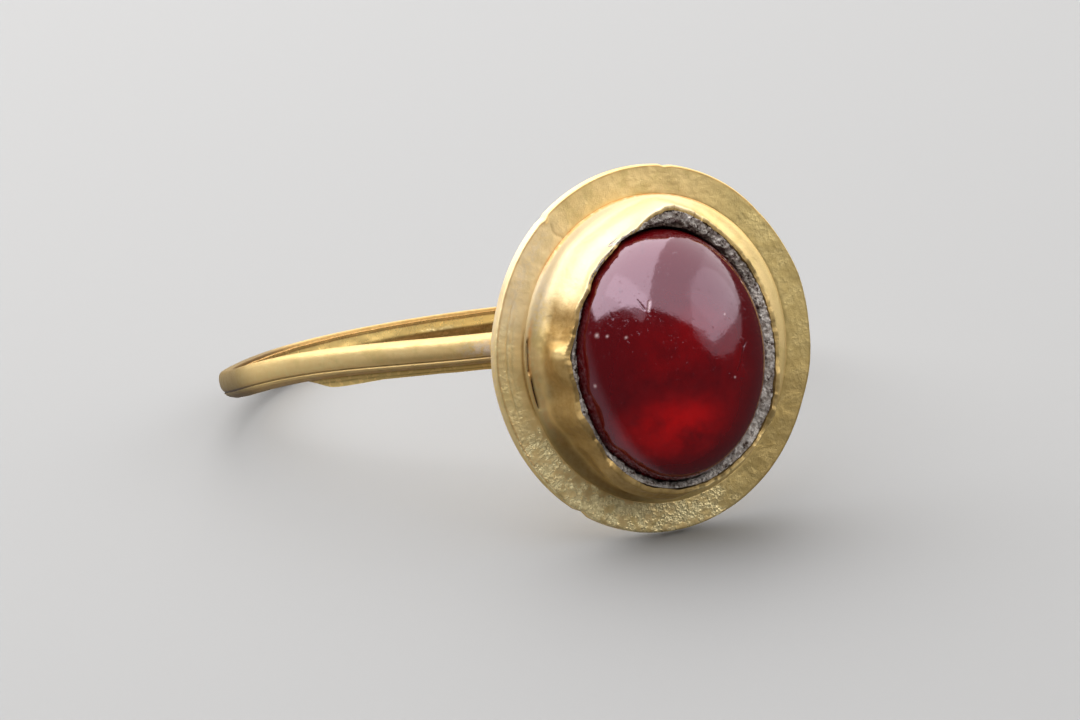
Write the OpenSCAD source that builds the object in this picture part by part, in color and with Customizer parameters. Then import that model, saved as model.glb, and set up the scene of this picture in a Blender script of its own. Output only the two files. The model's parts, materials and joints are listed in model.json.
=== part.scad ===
// Cabochon ring: a hollow gold hoop, a nearly round bezel plate, a flared and ragged collar on it, and a tall
// oval cabochon set in grey filler. The ring lies on its side. Millimetres, +Z up, the setting faces -Y.
// The origin is the middle of the finger hole.

/* [Hoop] */
// Inner diameter, the finger size
finger_d = 17; // [15:0.1:21]
// Thickness of the inner sheet that closes the hollow hoop
lining_t = 0.16; // [0.1:0.01:0.25]
// Open seam between the inner sheet and the hoop's shell
seam = 0.04; // [0.03:0.01:0.08]
// Thickness of the hoop's shell, from the seam to its round back
shell_t = 0.5; // [0.4:0.01:0.9]
// Width of the hoop along the finger
band_w = 0.9; // [0.7:0.05:1.8]
// How far the hoop has been pushed out of flat, up in front and down behind
hoop_wave = 0.25; // [0:0.01:0.4]
// How far the inner sheet stands in below the shell's top edge
lining_drop = 0.08; // [0.04:0.01:0.2]
// Depth of the sprung flap of the inner sheet below the hoop
flap_drop = 0.3; // [0.1:0.01:0.5]

/* [Stone] */
// Width of the oval cabochon
stone_w = 6.06; // [4:0.02:7]
// Height of the oval cabochon
stone_h = 7.48; // [5.5:0.02:9]
// Height of the dome above its widest line
dome_h = 2.7; // [1.5:0.1:4]
// Depth of the stone below its widest line
stone_base = 0.7; // [0.4:0.05:0.9]
// How far the stone sits towards the ring's left side
stone_shift = 0.36; // [0:0.02:0.5]
// How far the stone sits towards the plate's lower edge
stone_low = 0.08; // [0:0.01:0.2]

/* [Setting] */
// Widest band of filler between the stone and the collar
filler_w = 0.5; // [0.3:0.02:0.8]
// Clearance round the filler and the stone
seat_gap = 0.03; // [0.02:0.01:0.05]
// Thickness of the collar at its rim
wall_t = 0.15; // [0.1:0.01:0.3]
// Height of the collar's rim above the plate
collar_h = 1.55; // [1.4:0.05:2.6]
// How far the collar's foot spreads past the stone at its two sides
foot_side = 1.36; // [1.2:0.01:2]
// How far the collar's foot spreads past the stone at its two ends
foot_end = 0.86; // [0.8:0.01:1.6]

/* [Plate] */
// Margin of plate round the collar's foot
plate_margin = 0.91; // [0.5:0.01:2]
// Thickness of the plate
plate_t = 0.7; // [0.4:0.02:1]
// Bevel of the plate's back edge
plate_bevel = 0.2; // [0.05:0.01:0.4]
// How deep the hoop is let into the plate's back
let_in = 0.15; // [0.1:0.01:0.3]
// How far the plate's middle lies below the hoop
plate_drop = 0.73; // [0:0.01:1.2]
// Lean of the plate against the hoop, in degrees
plate_lean = 3.5; // [0:0.1:8]

/* [Hidden] */

steps = 96;
finger_r = finger_d / 2;
lining_r = finger_r + lining_t;
shell_r = lining_r + seam;
hoop_r = shell_r + shell_t;
foot_x = stone_w / 2 + foot_side;
foot_z = stone_h / 2 + foot_end;
plate_x = foot_x + plate_margin;
plate_z = foot_z + plate_margin;
plate_front = hoop_r - let_in + plate_t;
// How far the collar is sunk into the plate, where they are soldered.
foot_sink = 0.1;

// The hoop's section: share of the shell's thickness in from its round back, share of the band's width above
// its lower edge. The lip and groove run along the lower edge.
SHELL_SECTION = [
    [1.00, 0.97], [0.85, 1.00], [0.40, 1.00], [0.15, 0.93], [0.03, 0.80], [0.00, 0.62], [0.04, 0.46],
    [0.12, 0.34], [0.17, 0.29], [0.25, 0.26], [0.22, 0.21], [0.30, 0.17], [0.62, 0.00], [1.00, 0.00]
];
UNDERSIDE = SHELL_SECTION[12];

// The flap's lower edge: share of the hoop's radius in front of its middle, share of the flap's depth.
FLAP = [[0.33, 0.00], [0.385, 0.60], [0.445, 1.00], [0.51, 0.96], [0.60, 0.74], [0.75, 0.66], [1.10, 0.66]];
// How far to the left of the ring's middle the flap ends, behind the plate.
flap_end = 1;

// The plate's edge: share of its thickness behind the front, share of the bevel in from the outline.
PLATE_EDGE = [[0.00, 0.16], [0.08, 0.00], [0.75, 0.00], [0.88, 0.30], [1.00, 1.00]];

// Wear of the plate's outline: clock angle, share of the margin worn off (below 0, the plate stands out).
ANGLE = 0;
WEAR = 1;
PLATE_WEAR = [
    [0, 0.01], [9, 0.01], [11, 0.07], [14, 0.01], [36, 0.02], [50, 0.05], [63, 0.03], [75, -0.02], [92, 0.02],
    [103, 0.00], [115, 0.05], [130, 0.03], [142, 0.03], [160, 0.03], [176, 0.02], [184, 0.02], [195, 0.00],
    [213, 0.00], [216, 0.08], [219, 0.01], [240, -0.01], [258, -0.04], [270, -0.08], [280, -0.08], [292, -0.02],
    [310, -0.02], [321, -0.01], [323, 0.02], [325, -0.02], [340, 0.00], [360, 0.01]
];

// The rim by clock angle: share of the filler's band, share of the wall's thickness, share of the height.
BAND = 1;
WALL = 2;
TOP = 3;
RIM = [
    [0, 0.80, 0.95, 0.99], [8, 1.15, 1.05, 1.06], [15, 1.10, 1.05, 0.98], [30, 0.88, 0.95, 1.00],
    [45, 0.82, 0.95, 0.96], [56, 0.80, 1.00, 1.00], [64, 0.98, 0.90, 0.90], [75, 0.94, 0.95, 0.98],
    [90, 0.98, 1.00, 1.00], [105, 0.98, 1.00, 1.00], [120, 1.10, 1.20, 0.97], [128, 1.14, 1.00, 0.86],
    [135, 0.92, 1.10, 0.97], [150, 0.60, 0.95, 1.00], [165, 0.50, 0.90, 0.98], [180, 0.42, 0.90, 1.00],
    [195, 0.46, 0.95, 0.98], [210, 0.52, 1.15, 1.02], [222, 0.52, 1.30, 1.00], [230, 0.38, 0.80, 0.87],
    [240, 0.36, 0.80, 0.94], [250, 0.66, 1.50, 1.06], [260, 0.40, 0.80, 0.95], [270, 0.52, 1.05, 1.00],
    [280, 0.42, 1.00, 0.97], [290, 0.32, 0.75, 1.00], [300, 0.32, 0.95, 0.96], [310, 0.34, 0.85, 1.02],
    [320, 0.34, 0.95, 1.00], [330, 0.32, 0.80, 0.98], [340, 0.34, 0.70, 0.93], [350, 0.50, 0.75, 0.99],
    [360, 0.80, 0.95, 0.99]
];

// The collar's outer face: share of the way in from the foot's edge to the rim, share of the rim's height.
COLLAR_FLARE = [
    [0.00, 0.03], [0.10, 0.055], [0.34, 0.09], [0.55, 0.17], [0.70, 0.31], [0.80, 0.50], [0.90, 0.74],
    [1.00, 1.00]
];

// The dome's rings, as shares of its height above the widest line.
DOME_RISE = [0.00, 0.14, 0.28, 0.42, 0.55, 0.67, 0.78, 0.87, 0.94, 0.98, 0.997];
// Height of the stone's widest line above the plate.
girdle = 1.1;
// Top of the filler as a share of the collar's height, and how far it sags towards the stone.
filler_top = 0.82;
filler_sag = 0.07;
// Least share of the collar's height that stands clear of the filler.
rim_lip = 0.1;
// Width of the stone's flat base as a share of its widest line.
base_taper = 0.93;

function column(table, angle, col) = lookup(angle, [for (row = table) [row[ANGLE], row[col]]]);
function turn(j) = (j + 0.5) * 360 / steps;
function oval(x, z, angle) = [x * sin(angle), z * cos(angle)];

// Heights of the hoop's middle line, by the distance behind the finger's axis.
function wave(y) = -hoop_wave * sin(200 * y / hoop_r);

// The stone's outline, moved outwards by an offset, in the plate's own plane.
function around_stone(angle, offset) =
    oval(stone_w / 2 + offset, stone_h / 2 + offset, angle) - [stone_shift, stone_low];
function inside_stone(angle, share) =
    oval(stone_w / 2 * share, stone_h / 2 * share, angle) - [stone_shift, stone_low];
function filler_edge(angle) =
    let (band = max(filler_w * column(RIM, angle, BAND), 5 * seat_gap)) band - seat_gap;
function rim_inner(angle) = around_stone(angle, filler_edge(angle) + seat_gap);
function rim_outer(angle) =
    around_stone(angle, filler_edge(angle) + seat_gap + wall_t * column(RIM, angle, WALL));
function rim_height(angle) = collar_h * column(RIM, angle, TOP);
function foot(angle) = oval(foot_x, foot_z, angle);
function plate_edge(angle, inset) =
    let (worn = plate_margin * column(PLATE_WEAR, angle, WEAR) + inset)
    oval(plate_x - worn, plate_z - worn, angle);

// A point of the setting: a place in the plate's plane and a height in front of the plate.
function raised(place, height) = [place[0], -height, place[1]];

// Triangles between rings of points; closed joins the last ring to the first.
function band_faces(rings, closed) = [
    for (i = [0 : rings - (closed ? 1 : 2)], j = [0 : steps - 1])
        let (
            a = i * steps + j,
            b = i * steps + (j + 1) % steps,
            c = ((i + 1) % rings) * steps + j,
            d = ((i + 1) % rings) * steps + (j + 1) % steps
        )
        each [[a, b, d], [a, d, c]]
];

// A closed solid through a stack of rings, with flat ends.
module stack(rings) {
    n = len(rings);
    polyhedron(
        points = [for (ring = rings) each ring],
        faces = concat(
            band_faces(n, false),
            [[for (j = [steps - 1 : -1 : 0]) j], [for (j = [0 : steps - 1]) (n - 1) * steps + j]]
        )
    );
}

// A closed solid round a loop of rings.
module loop(rings) {
    polyhedron(points = [for (ring = rings) each ring], faces = band_faces(len(rings), true));
}

// From the plate's own frame, with its front face at zero, to the hoop's frame.
module on_hoop() {
    translate([0, -plate_front, -plate_drop]) rotate([plate_lean, 0, 0]) children();
}

// Lying on its side: the plate's lower edge and the hoop's lower back edge stand at one level.
edge_depth = PLATE_EDGE[2][0] * plate_t;
edge_low = plate_edge(180, 0)[1];
plate_foot_y = -plate_front + edge_depth * cos(plate_lean) - edge_low * sin(plate_lean);
plate_foot_z = -plate_drop + edge_depth * sin(plate_lean) + edge_low * cos(plate_lean);
hoop_foot_y = hoop_r - UNDERSIDE[0] * shell_t;
hoop_foot_z = wave(hoop_r) + (UNDERSIDE[1] - 0.5) * band_w;
lie = atan2(hoop_foot_z - plate_foot_z, hoop_foot_y - plate_foot_y);

module lying() {
    rotate([-lie, 0, 0]) children();
}

module hoop_shell() {
    loop([
        for (p = SHELL_SECTION)
            let (r = hoop_r - p[0] * shell_t, up = (p[1] - 0.5) * band_w)
            [for (j = [0 : steps - 1]) [r * cos(turn(j)), r * sin(turn(j)), up + wave(hoop_r * sin(turn(j)))]]
    ]);
}

module plate() {
    stack([
        for (i = [len(PLATE_EDGE) - 1 : -1 : 0])
            let (p = PLATE_EDGE[i])
            [for (j = [0 : steps - 1]) raised(plate_edge(turn(j), p[1] * plate_bevel), -p[0] * plate_t)]
    ]);
}

module collar() {
    loop(concat(
        [[for (j = [0 : steps - 1]) raised(foot(turn(j)), -foot_sink)]],
        [
            for (p = COLLAR_FLARE)
                [
                    for (j = [0 : steps - 1])
                        let (a = turn(j))
                        raised(foot(a) * (1 - p[0]) + rim_outer(a) * p[0], p[1] * rim_height(a))
                ]
        ],
        [[for (j = [0 : steps - 1]) raised(rim_inner(turn(j)), rim_height(turn(j)))]],
        [[for (j = [0 : steps - 1]) raised(rim_inner(turn(j)), -foot_sink)]]
    ));
}

module ring_body() {
    color("goldenrod") lying() {
        hoop_shell();
        on_hoop() {
            plate();
            collar();
        }
    }
}

// The side view of the inner sheet, as a strip that follows the hoop's wave.
module lining_strip(low, high, from, to) {
    count = 24;
    ys = [for (i = [0 : count]) from + (to - from) * i / count];
    polygon(concat(
        [for (y = ys) [y, wave(y) + low]],
        [for (i = [count : -1 : 0]) [ys[i], wave(ys[i]) + high]]
    ));
}

// The side view of the flap, which springs out of the seam and runs to the plate.
module flap_strip() {
    polygon(concat(
        [for (p = FLAP) let (y = -p[0] * lining_r) [y, wave(y) - band_w / 2 - p[1] * flap_drop]],
        [for (i = [len(FLAP) - 1 : -1 : 0]) let (y = -FLAP[i][0] * lining_r) [y, wave(y)]]
    ));
}

// A side view carried across the ring, from one place on X to another.
module across(from, to) {
    translate([from, 0, 0]) rotate([90, 0, 90]) linear_extrude(to - from) children();
}

module hoop_lining() {
    color("gold") lying() intersection() {
        difference() {
            cylinder(h = 8 * band_w, r = lining_r, center = true, $fn = 180);
            cylinder(h = 9 * band_w, r = finger_r, center = true, $fn = 180);
        }
        union() {
            across(-hoop_r, hoop_r) lining_strip(-band_w / 2, band_w / 2 - lining_drop, -hoop_r, hoop_r);
            across(-hoop_r, -flap_end) flap_strip();
        }
    }
}

// The filler is a cup: it lines the collar, holds the stone and sags a little towards it.
module filler() {
    foot_of_stone = girdle - stone_base;
    cup = [
        for (j = [0 : steps - 1])
            let (
                a = turn(j),
                edge = filler_edge(a),
                top = min(filler_top, column(RIM, a, TOP) - rim_lip) * collar_h
            )
            [
                raised(around_stone(a, edge), seat_gap),
                raised(around_stone(a, edge), top),
                raised(around_stone(a, seat_gap), top - filler_sag),
                raised(around_stone(a, seat_gap), foot_of_stone - seat_gap)
            ]
    ];
    rings = [for (k = [3 : -1 : 0]) [for (places = cup) places[k]]];
    color("lightgray") lying() on_hoop() stack(rings);
}

module stone() {
    rings = concat(
        [[for (j = [0 : steps - 1]) raised(inside_stone(turn(j), base_taper), girdle - stone_base)]],
        [
            for (s = DOME_RISE)
                let (share = sqrt(1 - s * s))
                [
                    for (j = [0 : steps - 1])
                        raised(inside_stone(turn(j), share), girdle + s * dome_h)
                ]
        ]
    );
    color("darkred") lying() on_hoop() stack([for (i = [len(rings) - 1 : -1 : 0]) rings[i]]);
}

ring_body();
hoop_lining();
filler();
stone();
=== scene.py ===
"""Cabochon ring: the looks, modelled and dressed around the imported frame.

Sizes are in millimetres until a mesh is laid, and the frame is in metres. A place on the setting is given by
its clock angle (0 up, 90 to the right, seen from the front) and its height in front of the bezel plate.
A place on the hoop is given by its clock angle round the finger (0 at the back, 90 to the right, 180 at the
setting) and its height along the finger.
"""

from __future__ import annotations

import json
import logging
import math
from collections.abc import Sequence
from dataclasses import dataclass, field
from enum import Enum

import bpy
import numpy as np
from mathutils import Matrix, Vector, noise

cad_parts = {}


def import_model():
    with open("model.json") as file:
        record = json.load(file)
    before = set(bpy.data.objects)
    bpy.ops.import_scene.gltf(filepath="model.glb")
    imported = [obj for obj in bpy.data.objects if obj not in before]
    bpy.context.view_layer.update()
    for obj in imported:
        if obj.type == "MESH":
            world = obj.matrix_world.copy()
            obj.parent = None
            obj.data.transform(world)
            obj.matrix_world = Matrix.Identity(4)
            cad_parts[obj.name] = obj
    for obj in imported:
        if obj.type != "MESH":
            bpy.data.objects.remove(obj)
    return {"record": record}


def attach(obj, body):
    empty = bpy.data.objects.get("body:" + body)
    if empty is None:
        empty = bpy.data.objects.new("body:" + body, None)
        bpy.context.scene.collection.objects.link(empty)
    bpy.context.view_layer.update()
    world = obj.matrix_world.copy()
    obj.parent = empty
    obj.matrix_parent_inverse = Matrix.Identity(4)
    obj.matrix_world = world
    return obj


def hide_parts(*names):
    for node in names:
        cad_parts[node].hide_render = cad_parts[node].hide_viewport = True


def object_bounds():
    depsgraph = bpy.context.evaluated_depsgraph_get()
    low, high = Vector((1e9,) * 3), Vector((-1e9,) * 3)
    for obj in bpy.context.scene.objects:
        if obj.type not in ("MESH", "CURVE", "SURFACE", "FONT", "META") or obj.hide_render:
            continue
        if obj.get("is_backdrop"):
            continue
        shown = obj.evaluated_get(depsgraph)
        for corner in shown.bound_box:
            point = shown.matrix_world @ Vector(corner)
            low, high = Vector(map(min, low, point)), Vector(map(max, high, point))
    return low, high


LOG = logging.getLogger("cabochon_ring")
MM = 0.001
TURN = 360.0
BODY = "root"

Array = np.ndarray
Colour = tuple[float, float, float, float]
Span = tuple[float, float]
Table = Sequence[Sequence[float]]

# How many places an eased table is read at, and how much less the outermost of them count.
EASE_READS = 9
EASE_FADE = 0.9

# How much weaker and how much finer each layer of fractal noise is than the one before.
NOISE_FADE = 0.9
NOISE_STEP = 2.0

# How far one step of a seed moves a noise pattern, right, back and up, in sizes of its lumps.
SEED_STEP = (17.3, 5.1, -9.7)

# Points closer than this, in metres, are one, and edges flatter than this, in degrees, are shaded smooth.
MERGE = 1e-7
SMOOTH_BELOW = 50.0


# Small tools: tables, noise and soft steps


def table_at(table: Table, angle: Array, column: int) -> Array:
    """Reads one column of a table that goes round the clock.

    Args:
        table: rows that start with a clock angle, from 0 to 360.
        angle: clock angles in degrees.
        column: which column to read.

    Returns:
        The column's value at each angle.
    """
    rows = np.array(table, float)
    return np.interp(angle % TURN, rows[:, 0], rows[:, column])


def eased_table_at(table: Table, angle: Array, column: int, ease: float = 4.5) -> Array:
    """Reads one column of a table that goes round the clock, with its corners eased.

    Args:
        table: rows that start with a clock angle, from 0 to 360.
        angle: clock angles in degrees.
        column: which column to read.
        ease: how far the easing reaches to both sides, in degrees.

    Returns:
        The column's eased value at each angle.
    """
    shifts = ease * np.linspace(-1.0, 1.0, EASE_READS)
    weights = 1.0 - (shifts / ease) ** 2 * EASE_FADE
    read = sum(w * table_at(table, angle + shift, column) for w, shift in zip(weights, shifts))
    return read / weights.sum()


def soft_step(value: Array, low: float, high: float) -> Array:
    """Rises smoothly from 0 at low to 1 at high."""
    share = np.clip((value - low) / (high - low), 0.0, 1.0)
    return share * share * (3.0 - 2.0 * share)


def bump_at(value: Array, middle: float, reach: float) -> Array:
    """A soft hill of height 1 over a middle value, gone at about twice its reach."""
    return np.exp(-(((value - middle) / reach) ** 2))


def clock_off(angle: Array, middle: float) -> Array:
    """How far each clock angle lies from a middle one, from -180 to 180 degrees."""
    return (angle - middle + TURN / 2) % TURN - TURN / 2


@dataclass(frozen=True)
class Arc:
    """A stretch of the clock, with a soft fade in degrees at both ends and a strength between them."""

    start: float
    end: float
    fade: float
    strength: float = 1.0

    def at(self, angle: Array) -> Array:
        """The arc's strength at each clock angle, 0 outside it."""
        half = ((self.end - self.start) % TURN) / 2
        away = np.abs(clock_off(angle, self.start + half))
        return self.strength * (1.0 - soft_step(away, half - self.fade / 2, half + self.fade / 2))


def sum_of(arcs: Sequence[Arc], angle: Array) -> Array:
    """The strength of several arcs together at each clock angle."""
    return sum(one.at(angle) for one in arcs)


def rough(places: Array, size: float, seed: int, octaves: int) -> Array:
    """Fractal noise at each place.

    Args:
        places: places in millimetres, one row each.
        size: how wide the largest lumps are, in millimetres.
        seed: moves the pattern, so that no two look alike.
        octaves: how many finer layers are added.

    Returns:
        Values that mostly lie between -1 and 1.
    """
    shift = Vector([step * seed for step in SEED_STEP])
    values = [noise.fractal(Vector(p) / size + shift, NOISE_FADE, NOISE_STEP, octaves) for p in places]
    return np.array(values)


@dataclass(frozen=True)
class Lumps:
    """One layer of an uneven surface: its depth, the width of its largest lumps, its seed and its octaves."""

    deep: float
    size: float
    seed: int
    octaves: int

    def at(self, places: Array) -> Array:
        """The layer's height at each place, in millimetres."""
        return self.deep * rough(places, self.size, self.seed, self.octaves)


def uneven(layers: Sequence[Lumps], places: Array) -> Array:
    """The height of several layers together at each place, in millimetres."""
    return sum(layer.at(places) for layer in layers)


def flow(points: Table, count: int) -> Array:
    """A smooth line through a few given points.

    Args:
        points: the points, in any number of columns.
        count: how many points the smooth line has.

    Returns:
        The line's points, spaced evenly by the points' own count.
    """
    p = np.array(points, float)
    p = np.vstack([2 * p[0] - p[1], p, 2 * p[-1] - p[-2]])
    place = np.linspace(0, len(points) - 1, count)
    i = np.minimum(place.astype(int), len(points) - 2)
    t = (place - i)[:, None]
    a, b, c, d = p[i], p[i + 1], p[i + 2], p[i + 3]
    return 0.5 * (2 * b + (c - a) * t + (2 * a - 5 * b + 4 * c - d) * t**2 + (3 * b - a - 3 * c + d) * t**3)


def raised(flat: Array, height: Array) -> Array:
    """Places on the setting, as right, height and up."""
    return np.column_stack([flat[:, 0], height, flat[:, 1]])


def around(radius: float | Array, angle: Array, up: float | Array) -> Array:
    """Places round the finger, at clock angles and at heights along it."""
    turn = np.radians(angle)
    return np.column_stack([radius * np.sin(turn), radius * np.cos(turn), up + np.zeros_like(turn)])


# The frame: where the hoop and the setting lie


@dataclass(frozen=True)
class Lie:
    """How the ring lies, and the sizes that place its parts.

    The hoop's plane tips about X so that the ring rests on the back of the hoop and the plate's lower edge.
    """

    tip: float
    finger_r: float
    lining_t: float = 0.16
    seam: float = 0.04
    shell_t: float = 0.5
    band_w: float = 0.9
    wave: float = 0.25
    wave_turn: float = math.radians(200.0)
    plate_t: float = 0.7
    let_in: float = 0.15
    plate_drop: float = 0.73
    plate_lean: float = math.radians(3.5)

    @property
    def lining_r(self) -> float:
        """The lining's outer radius."""
        return self.finger_r + self.lining_t

    @property
    def hoop_r(self) -> float:
        """The hoop's outer radius."""
        return self.lining_r + self.seam + self.shell_t

    def hoop(self, places: Array) -> Array:
        """Turns places in the hoop's plane into the row frame."""
        bent = places.copy()
        bent[:, 2] -= self.wave * np.sin(self.wave_turn * places[:, 1] / self.hoop_r)
        return bent @ np.array(Matrix.Rotation(-self.tip, 3, "X")).T

    def setting(self, places: Array) -> Array:
        """Turns places on the setting (right, height, up) into the row frame."""
        front = np.column_stack([places[:, 0], -places[:, 1], places[:, 2]])
        leaned = front @ np.array(Matrix.Rotation(self.plate_lean, 3, "X")).T
        leaned += np.array([0.0, self.let_in - self.plate_t - self.hoop_r, -self.plate_drop])
        return leaned @ np.array(Matrix.Rotation(-self.tip, 3, "X")).T


def read_lie(record: dict) -> Lie:
    """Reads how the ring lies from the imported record's finger bore.

    Args:
        record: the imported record.

    Returns:
        The ring's lie.
    """
    bore = next(m for m in record["mounts"] if m["name"] == "finger_bore")
    return Lie(tip=math.atan2(bore["axis"][1], bore["axis"][2]), finger_r=bore["dims"]["r_mm"])


# The bench: how a piece is drawn, laid and finished


def deselect_all() -> None:
    """Leaves nothing selected."""
    bpy.ops.object.select_all(action="DESELECT")


def edit(piece: bpy.types.Object) -> None:
    """Opens a piece in edit mode with all of it selected.

    Args:
        piece: the piece to edit.
    """
    deselect_all()
    piece.select_set(True)
    bpy.context.view_layer.objects.active = piece
    bpy.ops.object.mode_set(mode="EDIT")
    bpy.ops.mesh.select_all(action="SELECT")


def draw_tube(name: str, columns: int, rings: int) -> bpy.types.Object:
    """Draws a circle out into a tube of rings, the start of every turned or swept form.

    Args:
        name: the new piece's name.
        columns: how many points the circle has.
        rings: how many rings the tube has.

    Returns:
        The tube, one unit in radius, with its rings evenly spaced from 0 to 1 along Z.
    """
    deselect_all()
    bpy.ops.mesh.primitive_circle_add(vertices=columns, radius=1.0, location=(0.0, 0.0, 0.0))
    piece = bpy.context.object
    piece.name = name
    edit(piece)
    bpy.ops.mesh.extrude_region_move(TRANSFORM_OT_translate={"value": (0.0, 0.0, 1.0)})
    bpy.ops.object.mode_set(mode="OBJECT")
    upright = [abs(piece.data.vertices[e.vertices[0]].co.z - piece.data.vertices[e.vertices[1]].co.z) > 0.5
               for e in piece.data.edges]
    edit(piece)
    bpy.ops.mesh.select_all(action="DESELECT")
    bpy.ops.mesh.select_mode(type="EDGE")
    bpy.ops.object.mode_set(mode="OBJECT")
    piece.data.edges.foreach_set("select", upright)
    bpy.ops.object.mode_set(mode="EDIT")
    bpy.ops.mesh.subdivide_edgering(number_cuts=rings - 2, interpolation="LINEAR", smoothness=0.0)
    bpy.ops.mesh.select_mode(type="VERT")
    bpy.ops.object.mode_set(mode="OBJECT")
    return piece


@dataclass
class Laid:
    """A drawn tube with the clock angle and ring number of each of its points."""

    piece: bpy.types.Object
    rings: int
    angle: Array = field(init=False)
    ring: Array = field(init=False)

    def __post_init__(self) -> None:
        """Reads each point's clock angle and ring number off the tube."""
        drawn = places_of(self.piece)
        self.angle = np.degrees(np.arctan2(drawn[:, 0], drawn[:, 1])) % TURN
        self.ring = np.rint(drawn[:, 2] * (self.rings - 1)).astype(int)

    def lay(self, places: Array) -> None:
        """Moves every point to its place, in millimetres in the row frame."""
        self.piece.data.vertices.foreach_set("co", (places * MM).astype(np.float32).ravel())
        self.piece.data.update()

    def stain(self, name: str, amount: Array) -> None:
        """Stores one value a point under a name that a finish reads."""
        layer = self.piece.data.attributes.new(name, "FLOAT", "POINT")
        layer.data.foreach_set("value", np.clip(amount, 0.0, 1.0).astype(np.float32))

    def close(self, finish: bpy.types.Material) -> None:
        """Joins the meeting ends, turns the faces outwards, smooths the shading and lays the finish on.

        Args:
            finish: the piece's material.
        """
        edit(self.piece)
        bpy.ops.mesh.remove_doubles(threshold=MERGE)
        bpy.ops.mesh.normals_make_consistent(inside=False)
        bpy.ops.object.mode_set(mode="OBJECT")
        bpy.ops.object.shade_smooth_by_angle(angle=math.radians(SMOOTH_BELOW))
        self.piece.data.materials.append(finish)


def places_of(piece: bpy.types.Object) -> Array:
    """The piece's vertex places, one row each."""
    flat = np.zeros(len(piece.data.vertices) * 3, np.float32)
    piece.data.vertices.foreach_get("co", flat)
    return flat.reshape(-1, 3).astype(float)


def tube(name: str, columns: int, rings: int) -> Laid:
    """Draws a tube and reads its points' angles and rings."""
    return Laid(draw_tube(name, columns, rings), rings)


# Finishes


class Sum(Enum):
    """The sums that join two values."""

    TIMES = "MULTIPLY"
    PLUS = "ADD"
    MINUS = "SUBTRACT"
    MOST = "MAXIMUM"
    LEAST = "MINIMUM"


class Nodes:
    """Adds nodes to one node tree and links them."""

    def __init__(self, tree: bpy.types.NodeTree) -> None:
        """Takes the tree that is added to."""
        self.tree = tree

    def join(self, source: bpy.types.NodeSocket, target: bpy.types.NodeSocket) -> None:
        """Links one socket to another."""
        self.tree.links.new(source, target)

    def feed(self, value: object, target: bpy.types.NodeSocket) -> None:
        """Links a socket, or sets a plain value.

        Args:
            value: a socket or a plain value.
            target: the socket it goes to.
        """
        if isinstance(value, bpy.types.NodeSocket):
            self.join(value, target)
        else:
            target.default_value = value

    def add(self, kind: str, inputs: dict[str | int, object], **settings: str) -> bpy.types.Node:
        """Adds a node.

        Args:
            kind: the node's type.
            inputs: a socket or a plain value for each input that is set, by its name or number.
            settings: the node's own settings.

        Returns:
            The node.
        """
        node = self.tree.nodes.new(kind)
        for name, setting in settings.items():
            setattr(node, name, setting)
        for name, value in inputs.items():
            self.feed(value, node.inputs[name])
        return node

    def ramp(self, value: bpy.types.NodeSocket, low: float, high: float, start: float = 0.0,
             end: float = 1.0) -> bpy.types.NodeSocket:
        """Stretches a value smoothly, so that low becomes the start and high the end."""
        inputs = {"Value": value, "From Min": low, "From Max": high, "To Min": start, "To Max": end}
        return self.add("ShaderNodeMapRange", inputs, interpolation_type="SMOOTHSTEP").outputs["Result"]


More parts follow.
